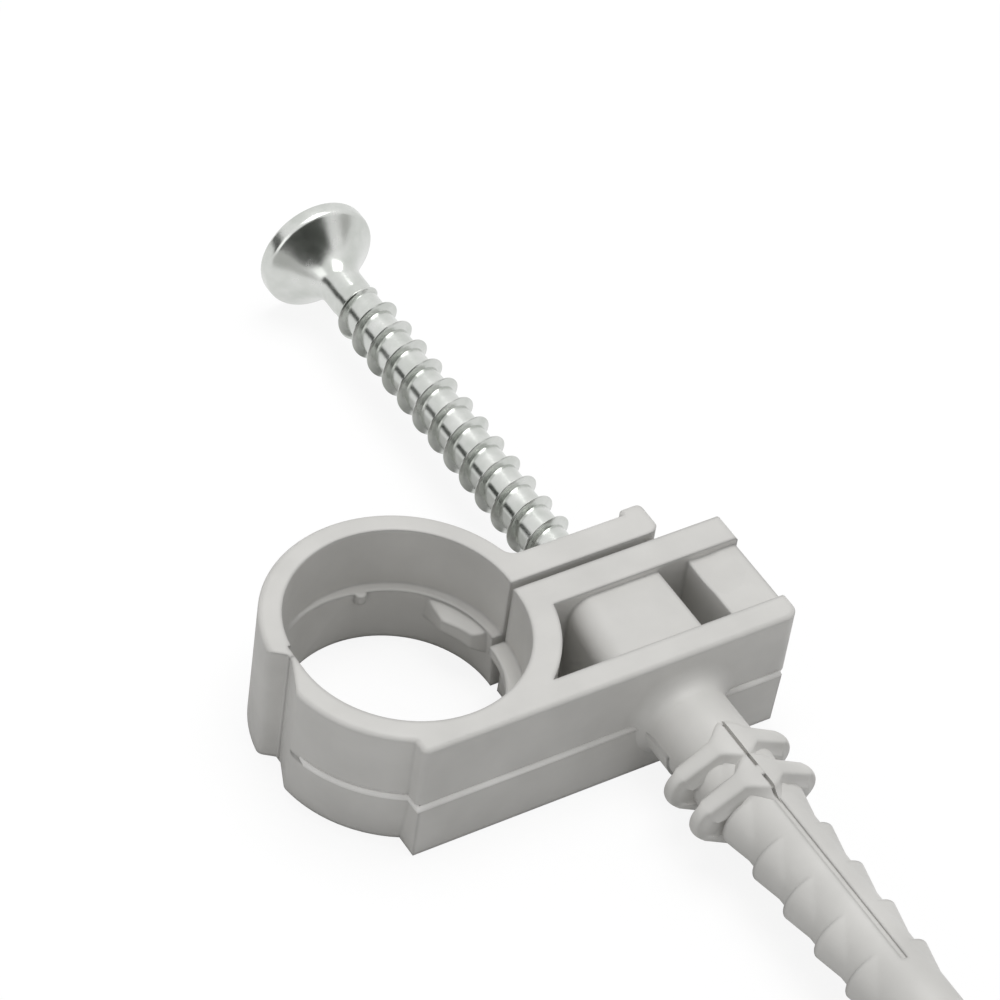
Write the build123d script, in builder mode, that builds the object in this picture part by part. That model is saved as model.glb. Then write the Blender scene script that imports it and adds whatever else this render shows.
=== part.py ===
from build123d import *
import os

os.makedirs("parts", exist_ok=True)

# Clip for a 19 mm pipe: a fixed half ring with its box and wall dowel, a hinged jaw, and a screw.
# X runs along the arm, Y from the wall towards the screw head, Z along the pipe axis.
# The pipe axis passes through the origin, and the mould's parting plane is Z = 0.

# heights above and below the parting plane
top_height = 7.6
bottom_depth = 6.2
ledge_height = 0.6

# fixed half ring with the rib that grips the pipe, and the wall face beside it
pipe_radius = 9.5
ring_bore_radius = 11.2
ring_outer_radius = 13.5
grip_land = 1.0
grip_height = 3.2
wall_distance = 13.6
parting_step = 0.3
ring_draft = 0.8

# jaw, moulded a little open of the fixed half
jaw_shift_x = 0.24
jaw_shift_y = 1.56
jaw_grip_radius = 10.1
jaw_bottom_radius = 10.7
jaw_outer_radius = 13.4
hinge_relief_radius = 10.3
hinge_relief_shift = 1.1
nub_radius = 0.6
nub_height = 1.0
nub_angle = 80

# split between box and leg
split_face = 0.4
split_gap = 0.8
leg_thickness = 3.3
leg_end = 28.1
leg_root_round = 1.5
lip_length = 2.5
lip_rise = 0.65
lip_round = 0.6

# film hinge, and the notch outside the ring that leaves it
film_floor = 11.7
film_thickness = 0.5
film_y = 1.65
film_gap = 0.03
film_half_length = 1.3
notch_flat = 0.8
notch_depth = 4.0
notch_jaw_slope = 0.77
notch_fixed_slope = 2.35
notch_round_share = 0.6

# wall plate and box
plate_left = 6.4
plate_thickness = 4.5
arm_end = 34.1
lower_end = 33.1
lower_draft_angle = 1.0
corner_round = 1.4
plate_edge_round = 0.6
edge_chamfer = 0.3
back_wall = 3.2
front_wall = 2.7
box_ring_radius = 13.9
boss_left_back = 15.6
boss_left_front = 14.6
boss_round = 2.4
boss_right = 25.2
slot_width = 3.35
boss_drop = 0.75
end_drop = 0.8
end_setback = 0.25
pocket_floor = 2.6
dish_x = 30.2
dish_y = -5.0
dish_depth = 0.3
dish_radius = 14.0

# pad inside the jaw, hollowed to the pipe
pad_left = 7.55
pad_front = 2.2
pad_corner_round = 3.6
pad_tip_radius = 7.8
pad_dip = 1.0
pad_face_height = 0.8
pad_depth = 4.0

# screw and its bore
screw_x = 21.85
thread_radius = 2.9
thread_clearance = 0.1
thread_pitch = 3.0
thread_turns = 14
core_radius = 2.2
ridge_half_width = 0.75
ridge_root = 0.1
screw_length = 65.0
head_top = 56.2
head_radius = 6.05
head_land = 1.6
head_cone = 4.4
shank_neck_length = 3.8
tip_length = 6.7
tip_radius = 0.3
recess_width = 1.3
recess_length = 6.2
recess_depth = 2.6
screw_travel = 43.0
leg_hole_clearance = 0.3
leg_hole_swing = 1.0

# dowel, with an eccentric row of barbs on each side
dowel_length = 46.0
neck_radius = 4.1
neck_length = 8.1
neck_flare = 0.9
neck_step = 0.25
neck_step_length = 4.6
body_radius = 3.6
nose_chamfer = 1.2
barb_radius = 4.4
barb_root_radius = 3.4
barb_shift = 1.2
barb_pitch = 5.0
barb_start = 9.1
barb_count = 6
wing_half_span = 6.5
wing_half_height = 4.4
wing_half_width = 0.6
wing_tip_radius = 2.2
first_wing = 8.1
second_wing = 12.4
dowel_slot_width = 0.5
dowel_slot_start = 6.2
dowel_slot_end = 35.9
bore_run_out = 1.2

# sizes that follow from the ones above
full_height = top_height + bottom_depth
lower_height = ledge_height + bottom_depth
jaw_face = split_face + split_gap
leg_back = jaw_face + leg_thickness
box_back = split_face - back_wall
box_front = front_wall - wall_distance
lower_face = wall_distance + parting_step
lower_ring_radius = ring_outer_radius + parting_step
floor_height = pocket_floor - bottom_depth
slot_right = boss_right + slot_width
end_top = top_height - end_drop
bore_radius = thread_radius + thread_clearance
screw_tip = head_top - screw_length
cone_bottom = head_top - head_land - head_cone
thread_top = cone_bottom - shank_neck_length
half_pitch = thread_pitch / 2
thread_bottom = thread_top - thread_turns * thread_pitch
ridge_height = thread_radius - core_radius + ridge_root
shank_end = screw_tip + tip_length
bore_bottom = screw_tip - screw_travel - bore_run_out
dowel_end = -wall_distance - dowel_length
neck_end = -wall_distance - neck_length
pad_root_radius = (ring_bore_radius + jaw_outer_radius) / 2
pad_tip_height = ledge_height - pad_dip
notch_mouth = film_floor + notch_depth
ring_wall = ring_outer_radius - film_floor
jaw_wall = jaw_outer_radius - jaw_shift_x - film_floor
fixed_mouth = film_y - notch_flat / 2 - notch_fixed_slope * ring_wall
jaw_mouth = film_y + notch_flat / 2 + notch_jaw_slope * jaw_wall
fixed_film_face = film_y - film_gap / 2
jaw_film_face = film_y + film_gap / 2
cut_margin = 2 * split_gap
reach = 2 * screw_length
half_turn = 180
screw_axis = Axis((screw_x, 0, 0), (0, 1, 0))
screw_plane = Plane.YZ.offset(screw_x)

# notch that thins the ring to a film, open to the outside
notch_outline = [
    (-film_floor, film_y + notch_flat / 2),
    (-notch_mouth, film_y + notch_flat / 2 + notch_jaw_slope * notch_depth),
    (-notch_mouth, film_y - notch_flat / 2 - notch_fixed_slope * notch_depth),
    (-film_floor, film_y - notch_flat / 2),
]

# fixed side of the split: the box's back face, and the middle of the film
fixed_side = [
    (-reach, -reach),
    (reach, -reach),
    (reach, split_face),
    (0, split_face),
    (0, fixed_film_face),
    (-reach, fixed_film_face),
]

# jaw side of the split: the leg's front face and end, and the middle of the film
jaw_side = [
    (-reach, jaw_film_face),
    (0, jaw_film_face),
    (0, jaw_face),
    (leg_end, jaw_face),
    (leg_end, reach),
    (-reach, reach),
]

# barbs on the dowel's +X side, turned about an axis beside its own so that they fade out on top
barb_axis = Axis((screw_x + barb_shift, 0, 0), (0, 1, 0))
barb_teeth = []
for step in range(barb_count):
    tooth_start = -wall_distance - barb_start - step * barb_pitch
    barb_teeth.append((screw_x + barb_radius, tooth_start))
    barb_teeth.append((screw_x + barb_root_radius, tooth_start - barb_pitch))
with BuildPart() as barbs:
    with BuildSketch(Plane.XY):
        with BuildLine():
            Polyline(
                (screw_x + barb_shift, barb_teeth[0][1]),
                *barb_teeth,
                (screw_x + barb_shift, barb_teeth[-1][1]),
                close=True,
            )
        make_face()
    revolve(axis=barb_axis)

# thin rounded wing pair, its collar running over the dowel
with BuildPart() as wing:
    with BuildSketch(Plane.XZ.offset(-wing_half_width)):
        Circle(wing_half_height)
        with GridLocations(2 * (wing_half_span - wing_tip_radius), 0, 2, 1):
            Circle(wing_tip_radius)
        make_hull()
    extrude(amount=2 * wing_half_width)

# shallow dish in the end wall, clear of the rails beside it
with BuildPart() as dish:
    with Locations((dish_x, dish_y, end_top - dish_depth + dish_radius)):
        Sphere(dish_radius)
    with Locations((slot_right, box_front, end_top)):
        Box(
            arm_end,
            box_back - box_front,
            2 * dish_depth,
            align=(Align.MIN, Align.MIN, Align.MAX),
            mode=Mode.INTERSECT,
        )

# pad that presses the pipe: a wedge turned about the jaw's own axis, trimmed to its outline
with BuildPart() as pad:
    with BuildSketch(Plane((jaw_shift_x, jaw_shift_y, 0), x_dir=(1, 0, 0), z_dir=(0, -1, 0))):
        with BuildLine():
            Polyline(
                (pad_root_radius, ledge_height),
                (ring_bore_radius, ledge_height),
                (pad_tip_radius, pad_tip_height),
                (pad_tip_radius, pad_tip_height - pad_face_height),
                (pad_root_radius, ledge_height - pad_depth),
                close=True,
            )
        make_face()
    revolve(axis=Axis((jaw_shift_x, jaw_shift_y, 0), (0, 0, 1)))
    with BuildSketch(Plane.XY.offset(-bottom_depth)) as pad_outline:
        with Locations((pad_left, pad_front)):
            Rectangle(jaw_outer_radius, jaw_outer_radius, align=(Align.MIN, Align.MIN))
        fillet(pad_outline.vertices().sort_by_distance((pad_left, pad_front))[0], pad_corner_round)
        Circle(pipe_radius, mode=Mode.SUBTRACT)
    extrude(amount=full_height, mode=Mode.INTERSECT)

# fixed half: ring, wall plate, box and dowel in one moulding
with BuildPart() as base:
    with BuildSketch(Plane.XY) as upper_outline:
        Circle(ring_outer_radius)
        with Locations((-plate_left, -wall_distance)):
            Rectangle(plate_left + arm_end, plate_thickness, align=(Align.MIN, Align.MIN))
        with Locations((0, -wall_distance)):
            Rectangle(arm_end, wall_distance + split_face + cut_margin, align=(Align.MIN, Align.MIN))
        fillet(upper_outline.vertices().sort_by_distance((arm_end, -wall_distance))[0], corner_round)
        plate_corner = upper_outline.vertices().sort_by_distance((-plate_left, -wall_distance))[0]
        fillet(plate_corner, plate_edge_round)
    extrude(amount=top_height)
    chamfer(base.faces().sort_by(Axis.Z)[-1].edges(), edge_chamfer)
    with Locations((0, 0, -bottom_depth)):
        Cone(
            lower_ring_radius - ring_draft,
            lower_ring_radius,
            bottom_depth,
            align=(Align.CENTER, Align.CENTER, Align.MIN),
        )
    with BuildSketch(Plane.XY):
        with Locations((-plate_left, -lower_face)):
            Rectangle(plate_left + lower_end, plate_thickness, align=(Align.MIN, Align.MIN))
        with Locations((0, -lower_face)):
            Rectangle(lower_end, lower_face + split_face + cut_margin, align=(Align.MIN, Align.MIN))
    extrude(amount=-bottom_depth, taper=lower_draft_angle)
    with BuildSketch(Plane.XY.offset(-bottom_depth)):
        Polygon(*fixed_side, align=None)
    extrude(amount=full_height, mode=Mode.INTERSECT)
    with BuildSketch(Plane.XY.offset(-bottom_depth)):
        Polygon(*notch_outline, align=None)
    extrude(amount=full_height, mode=Mode.SUBTRACT)
    for mouth_height in (top_height / 2, -bottom_depth / 2):
        mouth_edge = base.edges().sort_by_distance((-ring_outer_radius, fixed_mouth, mouth_height))[0]
        fillet(mouth_edge, notch_round_share * ring_wall)

    # bore with the rib that grips the pipe: flat on top, sloping back to the wall below
    with BuildSketch(Plane.XZ):
        with BuildLine():
            Polyline(
                (0, top_height),
                (ring_bore_radius, top_height),
                (ring_bore_radius, ledge_height),
                (pipe_radius, ledge_height),
                (pipe_radius, ledge_height - grip_land),
                (ring_bore_radius, ledge_height - grip_height),
                (ring_bore_radius, -bottom_depth),
                (0, -bottom_depth),
                close=True,
            )
        make_face()
    revolve(axis=Axis.Z, mode=Mode.SUBTRACT)
    with Locations((film_thickness - film_floor, film_y, -bottom_depth)):
        Box(
            film_floor,
            2 * film_half_length,
            full_height,
            align=(Align.MIN, Align.CENTER, Align.MIN),
            mode=Mode.SUBTRACT,
        )

    # pocket and slot either side of the boss
    with BuildSketch(Plane.XY.offset(floor_height)):
        with Locations((0, box_front)):
            Rectangle(boss_right, box_back - box_front, align=(Align.MIN, Align.MIN))
        Circle(box_ring_radius, mode=Mode.SUBTRACT)
        Polygon(
            (boss_left_back, box_back),
            (boss_left_front, box_front),
            (boss_right, box_front),
            (boss_right, box_back),
            align=None,
            mode=Mode.SUBTRACT,
        )
        with Locations((boss_right, box_front)):
            Rectangle(slot_width, box_back - box_front, align=(Align.MIN, Align.MIN))
    extrude(amount=top_height - floor_height, mode=Mode.SUBTRACT)
    with Locations((boss_left_front, box_front, top_height)):
        Box(
            boss_right - boss_left_front,
            box_back - box_front,
            boss_drop,
            align=(Align.MIN, Align.MIN, Align.MAX),
            mode=Mode.SUBTRACT,
        )
    with Locations((slot_right, box_front, top_height)):
        Box(
            arm_end,
            box_back - box_front,
            end_drop,
            align=(Align.MIN, Align.MIN, Align.MAX),
            mode=Mode.SUBTRACT,
        )
    with Locations((arm_end - end_setback, box_front, 0)):
        Box(
            arm_end,
            box_back - box_front,
            top_height,
            align=(Align.MIN, Align.MIN, Align.MIN),
            mode=Mode.SUBTRACT,
        )
    add(dish.part, mode=Mode.SUBTRACT)
    boss_edge = base.edges().sort_by_distance(
        ((boss_left_back + boss_left_front) / 2, (box_back + box_front) / 2, top_height - boss_drop)
    )[0]
    fillet(boss_edge, boss_round)

    # dowel, its neck flaring into the plate, with barbs and wings
    with BuildSketch(Plane.XY):
        with BuildLine():
            Polyline(
                (screw_x, -wall_distance),
                (screw_x, dowel_end),
                (screw_x + body_radius - nose_chamfer, dowel_end),
                (screw_x + body_radius, dowel_end + nose_chamfer),
                (screw_x + body_radius, neck_end),
                (screw_x + neck_radius, neck_end),
                (screw_x + neck_radius, -wall_distance - neck_flare),
                (screw_x + neck_radius + neck_flare, -wall_distance),
                close=True,
            )
        make_face()
    revolve(axis=screw_axis)
    with Locations(Plane((screw_x, -wall_distance, 0), x_dir=(1, 0, 0), z_dir=(0, -1, 0))):
        Cylinder(
            neck_radius + neck_step,
            neck_step_length,
            rotation=(0, 0, half_turn),
            arc_size=half_turn,
            align=(Align.CENTER, Align.MIN, Align.MIN),
        )
    add(barbs.part)
    mirror(barbs.part, about=screw_plane)
    with Locations(
        (screw_x, -wall_distance - first_wing, 0),
        (screw_x, -wall_distance - second_wing, 0),
    ):
        add(wing.part)

    # screw bore through boss and dowel, and the slots that let the dowel spread
    with BuildSketch(Plane.XY):
        with BuildLine():
            Polyline(
                (screw_x, split_face + cut_margin),
                (screw_x + bore_radius, split_face + cut_margin),
                (screw_x + bore_radius, bore_bottom),
                (screw_x, bore_bottom),
                close=True,
            )
        make_face()
    revolve(axis=screw_axis, mode=Mode.SUBTRACT)
    with Locations((screw_x, -wall_distance - dowel_slot_start, 0)):
        Box(
            dowel_slot_width,
            second_wing - wing_half_width - dowel_slot_start,
            2 * wing_half_height,
            align=(Align.CENTER, Align.MAX, Align.CENTER),
            mode=Mode.SUBTRACT,
        )
    with Locations((screw_x, -wall_distance - dowel_slot_end, 0)):
        Box(
            dowel_slot_width,
            dowel_slot_end - second_wing - wing_half_width,
            2 * wing_half_height,
            align=(Align.CENTER, Align.MIN, Align.CENTER),
            mode=Mode.SUBTRACT,
        )

# swinging half: half ring with its leg
with BuildPart() as jaw:
    with BuildSketch(Plane.XY.offset(-bottom_depth)) as jaw_outline:
        with Locations((jaw_shift_x, jaw_shift_y)):
            Circle(jaw_outer_radius)
        with Locations((0, jaw_face - cut_margin)):
            Rectangle(leg_end, cut_margin + leg_thickness, align=(Align.MIN, Align.MIN))
        with Locations((leg_end - lip_length, jaw_face - cut_margin)):
            Rectangle(lip_length, cut_margin + leg_thickness + lip_rise, align=(Align.MIN, Align.MIN))
        for corner_x in (leg_end - lip_length, leg_end):
            lip_corner = jaw_outline.vertices().sort_by_distance((corner_x, leg_back + lip_rise))[0]
            fillet(lip_corner, lip_round)
    extrude(amount=full_height)
    leg_root = jaw.edges().filter_by(Axis.Z).sort_by_distance((jaw_outer_radius, leg_back, 0))[0]
    fillet(leg_root, leg_root_round)
    chamfer(jaw.faces().sort_by(Axis.Z)[-1].edges(), edge_chamfer)
    with BuildSketch(Plane.XY.offset(-bottom_depth)) as jaw_region:
        Polygon(*jaw_side, align=None)
        fillet(jaw_region.vertices().sort_by_distance((leg_end, jaw_face))[0], corner_round)
        Polygon(*notch_outline, align=None, mode=Mode.SUBTRACT)
    extrude(amount=full_height, mode=Mode.INTERSECT)
    mouth_edge = jaw.edges().filter_by(Axis.Z).sort_by_distance((-jaw_outer_radius, jaw_mouth, 0))[0]
    fillet(mouth_edge, notch_round_share * jaw_wall)

    # bore with a ledge that fades out towards the film
    with Locations((jaw_shift_x, jaw_shift_y, ledge_height)):
        Cylinder(
            ring_bore_radius,
            top_height - ledge_height,
            align=(Align.CENTER, Align.CENTER, Align.MIN),
            mode=Mode.SUBTRACT,
        )
        Cone(
            jaw_bottom_radius,
            jaw_grip_radius,
            lower_height,
            align=(Align.CENTER, Align.CENTER, Align.MAX),
            mode=Mode.SUBTRACT,
        )
    with Locations((jaw_shift_x - hinge_relief_shift, jaw_shift_y, ledge_height)):
        Cylinder(
            hinge_relief_radius,
            lower_height,
            align=(Align.CENTER, Align.CENTER, Align.MAX),
            mode=Mode.SUBTRACT,
        )
    with Locations((film_thickness - film_floor, film_y, -bottom_depth)):
        Box(
            film_floor,
            2 * film_half_length,
            full_height,
            align=(Align.MIN, Align.CENTER, Align.MIN),
            mode=Mode.SUBTRACT,
        )
    add(pad.part)
    with Locations((jaw_shift_x, jaw_shift_y, ledge_height)):
        with PolarLocations(jaw_grip_radius, 1, start_angle=nub_angle):
            Cylinder(nub_radius, nub_height, align=(Align.CENTER, Align.CENTER, Align.MAX))

    # hole for the screw, longer along the leg so that the jaw can swing
    with BuildSketch(Plane.XZ):
        with Locations((screw_x, 0)):
            SlotOverall(
                2 * (thread_radius + leg_hole_clearance + leg_hole_swing),
                2 * (thread_radius + leg_hole_clearance),
            )
    extrude(amount=-reach, mode=Mode.SUBTRACT)

# half a turn of the screw's thread, a pointed ridge with its foot sunk in the core
with BuildPart() as half_thread:
    with BuildLine() as ridge_path:
        Helix(
            thread_pitch,
            half_pitch,
            core_radius - ridge_root,
            center=(screw_x, thread_bottom, 0),
            direction=(0, 1, 0),
        )
    with BuildSketch(Plane(ridge_path.line @ 0, x_dir=(0, 0, 1), z_dir=ridge_path.line % 0)):
        with BuildLine():
            Polyline((0, -ridge_half_width), (ridge_height, 0), (0, ridge_half_width), close=True)
        make_face()
    sweep(path=ridge_path.line, is_frenet=True)

# countersunk screw with its thread wound on the core
with BuildPart() as screw:
    with BuildSketch(Plane.XY):
        with BuildLine():
            Polyline(
                (screw_x, head_top),
                (screw_x + head_radius, head_top),
                (screw_x + head_radius, head_top - head_land),
                (screw_x + core_radius, cone_bottom),
                (screw_x + core_radius, shank_end),
                (screw_x + tip_radius, screw_tip),
                (screw_x, screw_tip),
                close=True,
            )
        make_face()
    revolve(axis=screw_axis)
    for step in range(2 * thread_turns):
        add(half_thread.part.rotate(screw_axis, half_turn * step).moved(Location((0, half_pitch * step, 0))))
    with Locations((screw_x, head_top, 0)):
        Box(
            recess_length,
            recess_depth,
            recess_width,
            align=(Align.CENTER, Align.MAX, Align.CENTER),
            mode=Mode.SUBTRACT,
        )
        Box(
            recess_width,
            recess_depth,
            recess_length,
            align=(Align.CENTER, Align.MAX, Align.CENTER),
            mode=Mode.SUBTRACT,
        )

base.part.label = "clip_base"
jaw.part.label = "clamp_jaw"
screw.part.label = "screw"
export_step(base.part, "parts/clip_base.step")
export_step(jaw.part, "parts/clamp_jaw.step")
export_step(screw.part, "parts/screw.step")
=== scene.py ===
import math

import bmesh
import bpy
from mathutils import Matrix, Vector


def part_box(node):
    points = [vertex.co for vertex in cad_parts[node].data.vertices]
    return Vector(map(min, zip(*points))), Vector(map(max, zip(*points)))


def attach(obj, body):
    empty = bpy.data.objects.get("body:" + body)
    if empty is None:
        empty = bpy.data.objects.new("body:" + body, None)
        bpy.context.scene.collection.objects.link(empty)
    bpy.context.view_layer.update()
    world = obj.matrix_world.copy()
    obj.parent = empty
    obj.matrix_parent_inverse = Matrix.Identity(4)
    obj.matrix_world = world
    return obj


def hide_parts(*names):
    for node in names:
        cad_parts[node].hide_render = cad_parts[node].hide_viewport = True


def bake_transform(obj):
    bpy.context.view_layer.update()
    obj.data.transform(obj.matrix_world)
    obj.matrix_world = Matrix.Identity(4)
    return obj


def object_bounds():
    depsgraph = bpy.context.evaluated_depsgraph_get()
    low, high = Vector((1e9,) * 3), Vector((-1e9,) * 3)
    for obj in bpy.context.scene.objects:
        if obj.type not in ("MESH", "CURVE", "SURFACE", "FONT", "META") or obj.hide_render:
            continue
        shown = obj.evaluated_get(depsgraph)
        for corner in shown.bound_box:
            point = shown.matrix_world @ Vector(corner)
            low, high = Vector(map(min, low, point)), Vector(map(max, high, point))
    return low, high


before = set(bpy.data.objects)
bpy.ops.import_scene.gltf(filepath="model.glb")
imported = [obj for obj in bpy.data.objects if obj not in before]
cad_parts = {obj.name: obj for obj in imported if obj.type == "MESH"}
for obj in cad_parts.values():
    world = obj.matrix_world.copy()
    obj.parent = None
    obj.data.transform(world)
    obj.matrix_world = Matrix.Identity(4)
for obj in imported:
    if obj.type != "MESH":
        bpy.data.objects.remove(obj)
cad_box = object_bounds()
mm = 0.001

# The clip's two halves: one moulding in light grey plastic, the ring, box and barbed dowel below
# the split and the swinging jaw with its leg above it. The tool was satin, so the skin is smooth
# and a little cloudy, with a fine grain that only shows as a soft sheen.
plastic_dark = (0.585, 0.578, 0.557, 1.0)
plastic_light = (0.655, 0.647, 0.624, 1.0)
plastic_dull = 0.52
plastic_sheen = 0.42
plastic_index = 1.49
cloud_size = 7.0 * mm
cloud_detail = 4.0
grain_size = 0.12 * mm
grain_detail = 2.0
grain_strength = 0.12
grain_depth = 0.02 * mm
moulded_edge = 0.7 * mm
edge_samples = 6
noise_low = 0.3
noise_high = 0.7


def frame_noise(nodes, links, size, detail):
    """Noise fixed to the piece, with features of about the given size."""
    place = nodes.new("ShaderNodeTexCoord")
    noise = nodes.new("ShaderNodeTexNoise")
    noise.inputs["Scale"].default_value = 1.0 / size
    noise.inputs["Detail"].default_value = detail
    links.new(place.outputs["Object"], noise.inputs["Vector"])
    return noise.outputs["Fac"]


def spread(nodes, links, value, low, high):
    """Stretches a noise value over the range from low to high."""
    stretch = nodes.new("ShaderNodeMapRange")
    stretch.inputs["From Min"].default_value = noise_low
    stretch.inputs["From Max"].default_value = noise_high
    stretch.inputs["To Min"].default_value = low
    stretch.inputs["To Max"].default_value = high
    links.new(value, stretch.inputs["Value"])
    return stretch.outputs["Result"]


def two_tone(nodes, links, value, dark, light):
    """Colour between two shades, by a noise value."""
    ramp = nodes.new("ShaderNodeValToRGB")
    ramp.color_ramp.elements[0].position = noise_low
    ramp.color_ramp.elements[0].color = dark
    ramp.color_ramp.elements[1].position = noise_high
    ramp.color_ramp.elements[1].color = light
    links.new(value, ramp.inputs["Fac"])
    return ramp.outputs["Color"]


def fine_bump(nodes, links, height, strength):
    """Bump of a fine grain, by a noise value."""
    bump = nodes.new("ShaderNodeBump")
    bump.inputs["Strength"].default_value = strength
    bump.inputs["Distance"].default_value = grain_depth
    links.new(height, bump.inputs["Height"])
    return bump


def new_material(name):
    """New material with its nodes and links."""
    material = bpy.data.materials.new(name)
    material.use_nodes = True
    return material, material.node_tree.nodes, material.node_tree.links


def satin_plastic(name, dark, light, edge_radius):
    """The clip's plastic, with its moulded edges shown softened by a radius, or left as they are."""
    material, nodes, links = new_material(name)
    shader = nodes["Principled BSDF"]
    clouds = frame_noise(nodes, links, cloud_size, cloud_detail)
    grain = frame_noise(nodes, links, grain_size, grain_detail)
    links.new(two_tone(nodes, links, clouds, dark, light), shader.inputs["Base Color"])
    links.new(spread(nodes, links, clouds, plastic_dull, plastic_sheen), shader.inputs["Roughness"])
    shader.inputs["IOR"].default_value = plastic_index
    bump = fine_bump(nodes, links, grain, grain_strength)
    if edge_radius:
        edge = nodes.new("ShaderNodeBevel")
        edge.samples = edge_samples
        edge.inputs["Radius"].default_value = edge_radius
        links.new(edge.outputs["Normal"], bump.inputs["Normal"])
    links.new(bump.outputs["Normal"], shader.inputs["Normal"])
    return material


grey_plastic = satin_plastic("satin_grey_plastic", plastic_dark, plastic_light, moulded_edge)
plain_plastic = satin_plastic("plain_grey_plastic", plastic_dark, plastic_light, 0.0)
for node in ("clip_base", "clamp_jaw"):
    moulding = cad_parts[node]
    moulding.data.materials.clear()
    moulding.data.materials.append(grey_plastic)

# The film hinge: a thin web of the same plastic, left where the notch outside the ring meets the
# relief inside it. It is moulded in one with both halves.
base_low, base_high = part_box("clip_base")
film_outside = -11.7 * mm
film_inside = -11.2 * mm
film_skin = 0.015 * mm
film_inset = 0.03 * mm
film_middle = 1.65 * mm
film_half_length = 0.42 * mm
film_waist = 0.03 * mm
film_steps = 10
film_rows = 12


def mesh_piece(name, corners, faces, material, smooth=True):
    """New mesh object from its corners and faces, in one material."""
    mesh = bpy.data.meshes.new(name)
    mesh.from_pydata(corners, [], faces)
    mesh.update()
    mesh.materials.append(material)
    for polygon in mesh.polygons:
        polygon.use_smooth = smooth
    piece = bpy.data.objects.new(name, mesh)
    bpy.context.scene.collection.objects.link(piece)
    return piece


def tube_faces(rows, sides, ring=False):
    """Faces round a tube of rows of corners, with both ends closed or joined into a ring."""
    faces = []
    for row in range(rows if ring else rows - 1):
        here = row * sides
        there = (row + 1) % rows * sides
        for side in range(sides):
            beside = (side + 1) % sides
            faces.append((here + side, here + beside, there + beside, there + side))
    if not ring:
        faces.append(tuple(reversed(range(sides))))
        faces.append(tuple(range((rows - 1) * sides, rows * sides)))
    return faces


film_foot = base_low[2] + film_inset
film_tall = base_high[2] - base_low[2] - 2.0 * film_inset
film_corners = []
for row in range(film_rows + 1):
    height = film_foot + film_tall * row / film_rows
    outside_row = []
    inside_row = []
    for step in range(film_steps + 1):
        along = 1.0 - 2.0 * step / film_steps
        place = film_middle + along * film_half_length
        waist = film_waist * (1.0 - along * along)
        outside_row.append((film_outside - film_skin + waist, place, height))
        inside_row.append((film_inside + film_skin, place, height))
    film_corners += outside_row + inside_row[::-1]
film_faces = tube_faces(film_rows + 1, 2 * (film_steps + 1))
film = mesh_piece("film_hinge", film_corners, film_faces, plain_plastic, smooth=False)
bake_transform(film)

# The parting line: a fine bead of flash where the two halves of the tool met, round the front of
# the ring and along the wall plate on both sides of the dowel. It is the same plastic, moulded in
# one with the fixed half; its lighter colour is a painted highlight. Its section is in millimetres.
screw_low, screw_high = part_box("screw")
screw_x = (screw_low[0] + screw_high[0]) / 2
# the bead's colour, lighter than the plastic: a painted highlight along the parting line
bead_highlight_dark = (0.76, 0.75, 0.73, 1.0)
bead_highlight_light = (0.84, 0.83, 0.81, 1.0)
bead_ring = 13.70 * mm
bead_angles = (195.5, 242.0)
bead_arc_steps = 24
bead_left = -6.42 * mm
bead_front = -13.80 * mm
bead_right = 33.0 * mm
bead_stop = 4.6 * mm
bead_fade_steps = 2
bead_section = [
    (-0.22, 0.36), (-0.04, 0.27), (0.12, 0.12), (0.18, -0.01),
    (0.15, -0.13), (0.02, -0.20), (-0.22, -0.16),
]
highlit_bead_plastic = satin_plastic("painted_highlight_bead_plastic", bead_highlight_dark, bead_highlight_light, 0.0)


def bead_run(name, route, fade_steps=0):
    """Bead along a route of level points, mitred at its corners, that may rise from the wall."""
    sunk = bead_section[0][0]
    corners = []
    for index, place in enumerate(route):
        before = (place - route[max(index - 1, 0)]).normalized()
        after = (route[min(index + 1, len(route) - 1)] - place).normalized()
        onward = (before + after).normalized()
        outward = Vector((onward.y, -onward.x, 0.0))
        mitre = 1.0 / onward.dot(after if after.length else before)
        rise = min(1.0, index / fade_steps) if fade_steps else 1.0
        for away, height in bead_section:
            corner = place + outward * ((sunk + (away - sunk) * rise) * mm * mitre)
            corners.append((corner.x, corner.y, height * mm))
    bead = mesh_piece(name, corners, tube_faces(len(route), len(bead_section)), highlit_bead_plastic)
    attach(bead, "base")


ring_route = []
for step in range(bead_arc_steps + 1):
    angle = math.radians(bead_angles[0] + (bead_angles[1] - bead_angles[0]) * step / bead_arc_steps)
    ring_route.append(Vector((bead_ring * math.cos(angle), bead_ring * math.sin(angle), 0.0)))
ring_route.append(Vector((bead_left, bead_front, 0.0)))
ring_route.append(Vector((screw_x - bead_stop, bead_front, 0.0)))
bead_run("parting_bead_ring", ring_route, bead_fade_steps)
arm_route = [Vector((screw_x + bead_stop, bead_front, 0.0)), Vector((bead_right, bead_front, 0.0))]
bead_run("parting_bead_arm", arm_route)

# The root of the dowel: its neck runs into the wall plate in a wide hollow round, moulded in one
# with both.
wall_face = -13.6 * mm
dowel_neck = 4.1 * mm
root_round = 1.9 * mm
root_inside = 0.3 * mm
root_steps = 10
root_segments = 72
root_crease = math.radians(40.0)


def about_axis(radius, height, angle):
    """Point at a radius and height about the axis of dowel and screw, at an angle from the top."""
    return (screw_x + radius * math.sin(angle), height, radius * math.cos(angle))


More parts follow.
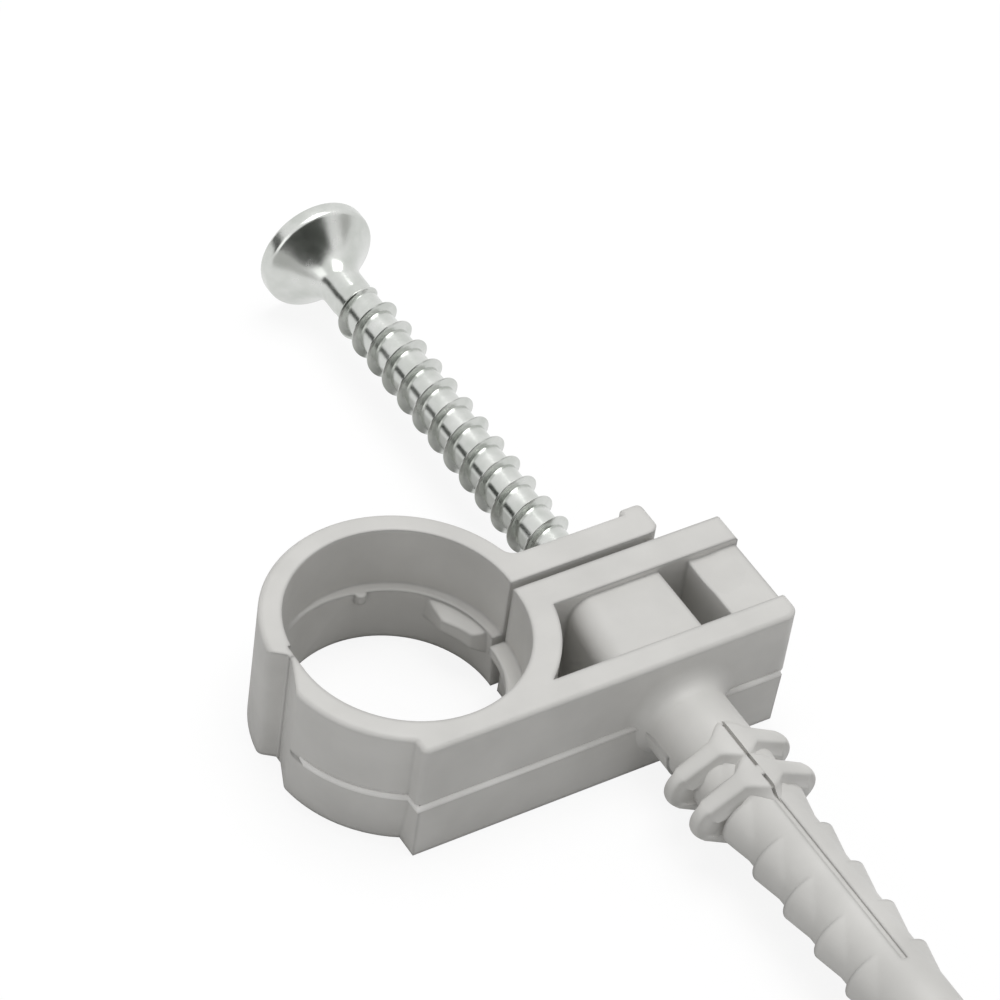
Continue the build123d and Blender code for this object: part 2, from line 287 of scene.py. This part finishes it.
root_section = [(dowel_neck - root_inside, -root_round)]
for step in range(root_steps, -1, -1):
    angle = math.pi / 2 * step / root_steps
    radius = dowel_neck + root_round * (1.0 - math.sin(angle))
    root_section.append((radius, -root_round * (1.0 - math.cos(angle))))
root_section.append((dowel_neck - root_inside, root_inside))
root_corners = [
    about_axis(radius, wall_face + away, 2.0 * math.pi * side / root_segments)
    for radius, away in root_section
    for side in range(root_segments)
]
root_faces = tube_faces(len(root_section), root_segments, ring=True)
root = mesh_piece("dowel_root", root_corners, root_faces, plain_plastic)
root.data.set_sharp_from_angle(angle=root_crease)
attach(root, "base")

# The wings: two soft lobed collars that stop the dowel turning in its hole. They are moulded in one
# with the dowel, fully rounded at the edge, and run together beside the slots that part them. The
# section of their edge is in millimetres.
wing_places = (8.1 * mm, 12.4 * mm)
wing_collar = 4.4 * mm
wing_tip = 2.2 * mm
wing_reach = 4.3 * mm
wing_inside = 3.3 * mm
wing_slot = 0.2 * mm
wing_saddle = 2.4
saddle_power = 12
saddle_flat = 0.9
wing_nose = [
    (-1.00, 1.10), (-0.70, 0.86), (-0.40, 0.73), (-0.15, 0.66),
    (0.00, 0.61), (0.10, 0.48), (0.17, 0.26), (0.20, 0.00),
]
wing_segments = 60
wing_crease = math.radians(65.0)

nose_back = [(away, -thick) for away, thick in reversed(wing_nose[:-1])]
wing_section = [(None, wing_nose[0][1])] + wing_nose + nose_back + [(None, nose_back[-1][1])]
wing_faces = tube_faces(wing_segments + 1, len(wing_section))
slot_angle = math.asin(wing_slot / wing_collar)
for number, place in enumerate(wing_places):
    for hand, turn in (("right", 0.0), ("left", math.pi)):
        wing_corners = []
        for step in range(wing_segments + 1):
            angle = turn + slot_angle + (math.pi - 2.0 * slot_angle) * step / wing_segments
            across = math.sin(angle)
            up = math.cos(angle)
            at_tip = wing_reach * abs(across) + wing_tip > wing_collar
            middle = math.copysign(wing_reach, across) if at_tip else 0.0
            radius = wing_tip if at_tip else wing_collar
            at_slot = up ** saddle_power
            saddle = 1.0 + wing_saddle * at_slot
            for away, thick in wing_section:
                if away is None:
                    spot = Vector((middle + radius * across, radius * up)).normalized() * wing_inside
                else:
                    kept = 1.0 - saddle_flat * at_slot if away > 0.0 else 1.0
                    reach = radius + away * kept * mm
                    spot = Vector((middle + reach * across, reach * up))
                height = wall_face - place + thick * saddle * mm
                wing_corners.append((screw_x + spot.x, height, spot.y))
        wing_name = hand + "_dowel_wing_" + str(number + 1)
        wing = mesh_piece(wing_name, wing_corners, wing_faces, plain_plastic)
        wing.data.set_sharp_from_angle(angle=wing_crease)
        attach(wing, "base")

# The dowel's slots: each keeps a thin web across it, a little below the skin, that tears when the
# screw spreads the dowel. They are the same plastic, moulded in one with it.
web_inside = 3.05 * mm
web_outside = 3.42 * mm
web_between_wings = 3.95 * mm
web_half_width = 0.27 * mm
web_runs = [
    (-19.78 * mm, -25.42 * mm, web_between_wings),
    (-26.58 * mm, -28.05 * mm, web_between_wings),
    (-28.05 * mm, -49.52 * mm, web_outside),
]
web_steps = 4

for side_name, turn in (("upper", 0.0), ("lower", math.pi)):
    for number, (start, end, outside) in enumerate(web_runs):
        web_corners = []
        for height in (start, end):
            for radius, way in ((web_inside, 1.0), (outside, -1.0)):
                for step in range(web_steps + 1):
                    angle = turn + way * (2.0 * step / web_steps - 1.0) * web_half_width / radius
                    web_corners.append(about_axis(radius, height, angle))
        web_name = side_name + "_slot_web_" + str(number + 1)
        web_faces = tube_faces(2, 2 * (web_steps + 1))
        web = mesh_piece(web_name, web_corners, web_faces, plain_plastic, smooth=False)
        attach(web, "base")

# The screw: a countersunk wood screw in bright zinc-plated steel, threaded from the neck to the
# point. The thread is rolled, so its ridge has a narrow flat crest and steep sides, and the cone
# under the head runs into the neck with a small round.
screw_top = screw_high[1]
screw_point = screw_low[1]
head_radius = (screw_high[0] - screw_low[0]) / 2
head_land = 1.6 * mm
head_edge = 0.4 * mm
rim_side = 0.75
rim_drop = 0.6
rim_steps = 5
cone_bottom = screw_top - 6.0 * mm
cone_steps = 12
neck_radius = 2.25 * mm
neck_round = 0.3 * mm
neck_step = 0.3 * mm
trumpet_draw = 1.4 * mm
thread_top = screw_top - 8.4 * mm
thread_pitch = 3.0 * mm
spare_turns = 2
crest_radius = 2.98 * mm
root_radius = 2.2 * mm
point_radius = 0.15 * mm
point_length = 6.7 * mm
run_out = 2.5 * mm
recess_reach = 3.1 * mm
recess_arm = 0.65 * mm
recess_depth = 2.5 * mm
recess_foot = 0.4
screw_segments = 72
screw_crease = math.radians(40.0)
weld_distance = 0.002 * mm
zinc_dark = (0.55, 0.57, 0.54, 1.0)
zinc_light = (0.68, 0.69, 0.67, 1.0)
zinc_bright = 0.19
zinc_dull = 0.28
bloom_size = 2.5 * mm
bloom_detail = 3.0
rolling_size = 0.25 * mm
rolling_detail = 2.0
rolling_strength = 0.18

# the ridge's place along one turn of the thread, and its height from root to crest
ridge_profile = [
    (0.00, 0.00), (0.17, 0.00), (0.34, 0.00), (0.38, 0.45), (0.42, 0.93), (0.435, 1.00),
    (0.465, 1.00), (0.48, 0.93), (0.52, 0.45), (0.56, 0.00), (0.78, 0.00),
]


def shank_radius(height, ridge):
    """Radius at a height along the screw, for a place on the ridge from 0 at its root to 1."""
    taper = min(1.0, max(0.0, (height - screw_point) / point_length))
    root = point_radius + (root_radius - point_radius) * taper
    crest = point_radius + (crest_radius - point_radius) * taper
    fade = min(1.0, max(0.0, (thread_top - height) / run_out))
    return root + (crest - root) * ridge * fade


def on_screw(radius, height, turn):
    """New corner at a radius and height, a share of a turn round the screw from the top."""
    return screw_body.verts.new(about_axis(radius, height, 2.0 * math.pi * turn))


def bend(start, corner, end, steps):
    """Points of a smooth bend from start to end, drawn towards a corner."""
    points = []
    for step in range(steps + 1):
        share = step / steps
        weights = ((1.0 - share) ** 2, 2.0 * share * (1.0 - share), share ** 2)
        points.append(tuple(
            weights[0] * low + weights[1] * middle + weights[2] * high
            for low, middle, high in zip(start, corner, end)
        ))
    return points


def loop_edges(loop):
    """Edges of the screw along a closed loop of corners."""
    return [screw_body.edges.get((corner, loop[index - 1])) for index, corner in enumerate(loop)]


screw_body = bmesh.new()

# the thread's rows follow the helix, and stop at the neck and at the point
thread_turns = int((thread_top - screw_point) / thread_pitch) + spare_turns
thread_rows = []
for turn in range(thread_turns):
    for share, ridge in ridge_profile:
        row = []
        for side in range(screw_segments):
            part_turn = side / screw_segments
            climb = part_turn - turn - share
            height = min(thread_top, max(screw_point, thread_top + thread_pitch * climb))
            row.append(on_screw(shank_radius(height, ridge), height, part_turn))
        thread_rows.append(row)
per_turn = len(ridge_profile)
for index, (row, below) in enumerate(zip(thread_rows[:-1], thread_rows[1:])):
    for side in range(screw_segments - 1):
        screw_body.faces.new((row[side], row[side + 1], below[side + 1], below[side]))
    if index >= per_turn:
        turn_above = index - per_turn
        screw_body.faces.new(
            (row[-1], thread_rows[turn_above][0], thread_rows[turn_above + 1][0], below[-1])
        )

# neck, countersunk cone and rim, turned about the axis
rim_bottom = screw_top - head_land
rim_start = (head_radius - head_edge * rim_side, rim_bottom - head_edge * rim_drop)
head_section = [(root_radius, thread_top), (neck_radius, thread_top + neck_step)]
head_section += bend(
    (neck_radius, cone_bottom - neck_round),
    (neck_radius, cone_bottom + trumpet_draw),
    rim_start,
    cone_steps,
)
head_section += bend(
    rim_start,
    (head_radius, rim_bottom),
    (head_radius, rim_bottom + head_edge),
    rim_steps,
)
head_section += bend(
    (head_radius, screw_top - head_edge),
    (head_radius, screw_top),
    (head_radius - head_edge, screw_top),
    rim_steps,
)
rings = [
    [on_screw(radius, height, side / screw_segments) for side in range(screw_segments)]
    for radius, height in head_section
]
for upper, lower in zip(rings[:0:-1], rings[-2::-1]):
    for side in range(screw_segments):
        beside = (side + 1) % screw_segments
        screw_body.faces.new((upper[side], upper[beside], lower[beside], lower[side]))

# cross recess in the head: four arms that narrow towards their floor
arm_corners = ((-recess_arm, recess_reach), (recess_arm, recess_reach), (recess_arm, recess_arm))
cross = []
for quarter in range(4):
    angle = math.pi / 2 * quarter
    for across, along in arm_corners:
        cross.append((
            across * math.cos(angle) + along * math.sin(angle),
            along * math.cos(angle) - across * math.sin(angle),
        ))
mouth = [screw_body.verts.new((screw_x + x, screw_top, z)) for x, z in cross]
foot = [
    screw_body.verts.new((screw_x + x * recess_foot, screw_top - recess_depth, z * recess_foot))
    for x, z in cross
]
for side in range(len(cross)):
    beside = (side + 1) % len(cross)
    screw_body.faces.new((mouth[side], mouth[beside], foot[beside], foot[side]))
screw_body.faces.new(foot)
face_edges = loop_edges(rings[-1]) + loop_edges(mouth)
bmesh.ops.triangle_fill(screw_body, use_beauty=True, edges=face_edges)

bmesh.ops.remove_doubles(screw_body, verts=screw_body.verts[:], dist=weld_distance)
bmesh.ops.recalc_face_normals(screw_body, faces=screw_body.faces[:])

zinc, nodes, links = new_material("bright_zinc_steel")
shader = nodes["Principled BSDF"]
bloom = frame_noise(nodes, links, bloom_size, bloom_detail)
rolling = frame_noise(nodes, links, rolling_size, rolling_detail)
links.new(two_tone(nodes, links, bloom, zinc_dark, zinc_light), shader.inputs["Base Color"])
shader.inputs["Metallic"].default_value = 1.0
links.new(spread(nodes, links, bloom, zinc_bright, zinc_dull), shader.inputs["Roughness"])
bump = fine_bump(nodes, links, rolling, rolling_strength)
links.new(bump.outputs["Normal"], shader.inputs["Normal"])

screw_mesh = bpy.data.meshes.new("wood_screw")
screw_body.to_mesh(screw_mesh)
screw_body.free()
screw_mesh.materials.append(zinc)
for polygon in screw_mesh.polygons:
    polygon.use_smooth = True
screw_mesh.set_sharp_from_angle(angle=screw_crease)
wood_screw = bpy.data.objects.new("wood_screw", screw_mesh)
bpy.context.scene.collection.objects.link(wood_screw)
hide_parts("screw")
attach(wood_screw, "screw")

# The studio: a plain white table under soft light from above, with a weaker light from the left.
# The camera and bright metal see the table as white; it still keeps a faint shadow.
table_gap = 0.05 * mm
table_height = cad_box[0][2] - table_gap
table_half = 1.5
table_colour = (0.60, 0.60, 0.60, 1.0)
table_light = 0.9
shadow_share = 0.15
ambient = 0.47
light_size = 0.6
overhead_place = (0.15, 0.10, 0.90)
overhead_power = 4.5
left_place = (-0.90, -0.20, 0.45)
left_power = 0.7


def seen_directly(nodes, links):
    """One for rays from the camera, off bright metal or through a clear piece, else zero."""
    path = nodes.new("ShaderNodeLightPath")
    seen = path.outputs["Is Camera Ray"]
    for kind in ("Is Glossy Ray", "Is Transmission Ray"):
        either = nodes.new("ShaderNodeMath")
        either.operation = "MAXIMUM"
        links.new(seen, either.inputs[0])
        links.new(path.outputs[kind], either.inputs[1])
        seen = either.outputs["Value"]
    return seen


white_table, nodes, links = new_material("white_table")
nodes.remove(nodes["Principled BSDF"])
matt = nodes.new("ShaderNodeBsdfDiffuse")
matt.inputs["Color"].default_value = table_colour
shaded = nodes.new("ShaderNodeBsdfDiffuse")
shaded.inputs["Color"].default_value = (shadow_share, shadow_share, shadow_share, 1.0)
glow = nodes.new("ShaderNodeEmission")
glow.inputs["Strength"].default_value = 1.0 - shadow_share * table_light
white = nodes.new("ShaderNodeAddShader")
links.new(shaded.outputs["BSDF"], white.inputs[0])
links.new(glow.outputs["Emission"], white.inputs[1])
choice = nodes.new("ShaderNodeMixShader")
links.new(seen_directly(nodes, links), choice.inputs["Fac"])
links.new(matt.outputs["BSDF"], choice.inputs[1])
links.new(white.outputs["Shader"], choice.inputs[2])
links.new(choice.outputs["Shader"], nodes["Material Output"].inputs["Surface"])

table = mesh_piece(
    "table",
    [(-table_half, -table_half, table_height), (table_half, -table_half, table_height),
     (table_half, table_half, table_height), (-table_half, table_half, table_height)],
    [(0, 1, 2, 3)],
    white_table,
)

world = bpy.data.worlds.new("white_room")
bpy.context.scene.world = world
world.use_nodes = True
nodes = world.node_tree.nodes
links = world.node_tree.links
background = nodes["Background"]
background.inputs["Color"].default_value = (1.0, 1.0, 1.0, 1.0)
strength = nodes.new("ShaderNodeMapRange")
strength.inputs["To Min"].default_value = ambient
strength.inputs["To Max"].default_value = 1.0
links.new(seen_directly(nodes, links), strength.inputs["Value"])
links.new(strength.outputs["Result"], background.inputs["Strength"])


def soft_light(name, place, power):
    """Square area light at a place, aimed at the middle of the clip."""
    light = bpy.data.lights.new(name, "AREA")
    light.size = light_size
    light.energy = power
    lamp = bpy.data.objects.new(name, light)
    lamp.location = place
    lamp.rotation_euler = (-Vector(place)).to_track_quat("-Z", "Y").to_euler()
    bpy.context.scene.collection.objects.link(lamp)


soft_light("overhead_light", overhead_place, overhead_power)
soft_light("left_light", left_place, left_power)

# four cards that only bright metal shows, as painted reflections: a dark one below the camera, a
# dark one low on the left, a grey one low on the right, and a grey one flat on the table beside the
# screw that paints the reflection of the shadow there
camera_card = [(-0.75, -0.55, 0.0), (0.33, -0.55, 0.0), (0.33, -0.55, 0.82), (-0.75, -0.55, 0.82)]
left_card = [(-0.53, 0.05, 0.02), (-0.53, 0.90, 0.02), (-0.53, 0.90, 0.28), (-0.53, 0.05, 0.28)]
right_card = [(0.60, -0.60, 0.0), (0.60, -0.22, 0.0), (0.60, -0.22, 0.30), (0.60, -0.60, 0.30)]
flat_lift = 0.02 * mm
flat_height = table_height + flat_lift
flat_card = [
    (-0.150, -0.050, flat_height), (0.0205, -0.050, flat_height),
    (0.0205, 0.043, flat_height), (-0.150, 0.043, flat_height),
]
board_cloud = 0.4
board_detail = 2.0


def card_board(name, dark, light):
    """Matt board for a card, between two shades."""
    board, nodes, links = new_material(name)
    shader = nodes["Principled BSDF"]
    shade = frame_noise(nodes, links, board_cloud, board_detail)
    links.new(two_tone(nodes, links, shade, dark, light), shader.inputs["Base Color"])
    shader.inputs["Roughness"].default_value = 1.0
    return board


dark_board = card_board("dark_board", (0.03, 0.035, 0.03, 1.0), (0.06, 0.065, 0.055, 1.0))
grey_board = card_board("grey_board", (0.70, 0.70, 0.68, 1.0), (0.78, 0.78, 0.76, 1.0))
# grey of the flat card: painted shadow, seen only in the screw's reflection of the table
reflected_shadow_board = card_board("reflected_shadow_board", (0.58, 0.58, 0.57, 1.0), (0.68, 0.68, 0.67, 1.0))
for name, corners, board in (
    ("camera_card", camera_card, dark_board),
    ("left_card", left_card, dark_board),
    ("right_card", right_card, grey_board),
    ("flat_card", flat_card, reflected_shadow_board),
):
    card = mesh_piece(name, corners, [(0, 1, 2, 3)], board, smooth=False)
    card.visible_camera = False
    card.visible_diffuse = False
    card.visible_shadow = False
    card.visible_transmission = False

# The camera: a long lens looking down past the wall side of the clip, leaning a little.
camera_lens = 160.0
camera_sensor = 36.0
camera_near = 0.01
camera_aim = Vector((20.77, 17.10, 0.0)) * mm
camera_away = 428.2 * mm
camera_turn = math.radians(37.17)
camera_tilt = math.radians(44.43)
camera_lean = math.radians(8.79)

ahead = Vector((
    math.sin(camera_turn) * math.cos(camera_tilt),
    math.cos(camera_turn) * math.cos(camera_tilt),
    -math.sin(camera_tilt),
))
level = ahead.cross(Vector((0.0, 0.0, 1.0))).normalized()
upward = level.cross(ahead)
right = level * math.cos(camera_lean) + upward * math.sin(camera_lean)
above = upward * math.cos(camera_lean) - level * math.sin(camera_lean)
lens = bpy.data.cameras.new("camera")
lens.lens = camera_lens
lens.sensor_width = camera_sensor
lens.clip_start = camera_near
camera = bpy.data.objects.new("camera", lens)
turned = Matrix((right, above, -ahead)).transposed().to_4x4()
camera.matrix_world = Matrix.Translation(camera_aim - ahead * camera_away) @ turned
bpy.context.scene.collection.objects.link(camera)
bpy.context.scene.camera = camera

bpy.context.scene.view_settings.view_transform = "Standard"
